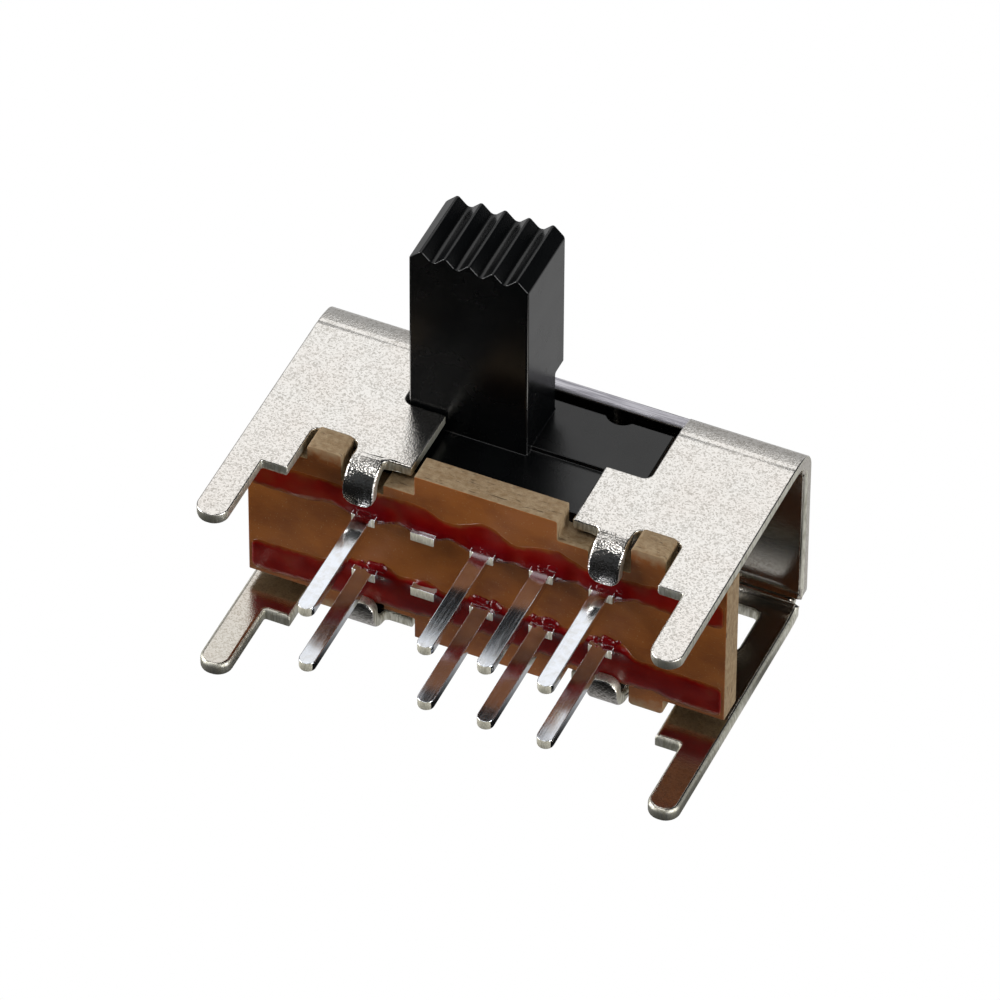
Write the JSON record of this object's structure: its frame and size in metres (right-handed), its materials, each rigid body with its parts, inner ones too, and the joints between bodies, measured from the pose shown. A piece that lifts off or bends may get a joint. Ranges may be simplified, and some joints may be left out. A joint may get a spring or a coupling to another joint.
{
  "type": "slide switch",
  "caption": "Miniature right-angle slide switch: folded steel frame with mounting legs, phenolic terminal board with straight solder pins, and a ridged black sliding knob.",
  "frame": {"origin": "under the middle of the whole switch's box, on the plane of the frame's lower plate", "axes": "+X along the switch and the knob's travel to the right, -Y towards the pins and the circuit board, +Z towards the knob"},
  "size_m": [0.0162, 0.0112, 0.0135],
  "materials": {
    "frame_steel": "satin nickel plate with a fine speckled grain",
    "phenolic": "tan paper phenolic, rough on its punched edges",
    "seal_resin": "glossy dark red resin",
    "terminal_metal": "bright tin plate",
    "black_moulding": "satin black moulding",
    "contact_bronze": "bright phosphor bronze",
    "ball_steel": "polished steel",
    "spring_steel": "drawn spring wire"
  },
  "bodies": {
    "body": {"frame": "frame_steel", "terminal_board": "phenolic", "seal_upper": "seal_resin", "seal_lower": "seal_resin", "common_terminal_upper": "terminal_metal", "common_terminal_lower": "terminal_metal", "throw_terminal_upper_1": "terminal_metal", "throw_terminal_upper_2": "terminal_metal", "throw_terminal_upper_3": "terminal_metal", "throw_terminal_lower_1": "terminal_metal", "throw_terminal_lower_2": "terminal_metal", "throw_terminal_lower_3": "terminal_metal"},
    "slider": {"slider": "black_moulding", "contact_clip_upper": "contact_bronze", "contact_clip_lower": "contact_bronze", "detent_ball_left": "ball_steel", "detent_ball_right": "ball_steel", "detent_spring_left": "spring_steel", "detent_spring_right": "spring_steel"}
  },
  "joints": [
    {"name": "slider_travel", "type": "slide", "parent": "body", "child": "slider", "axis": [1, 0, 0], "range_m": [0, 0.004]}
  ]
}
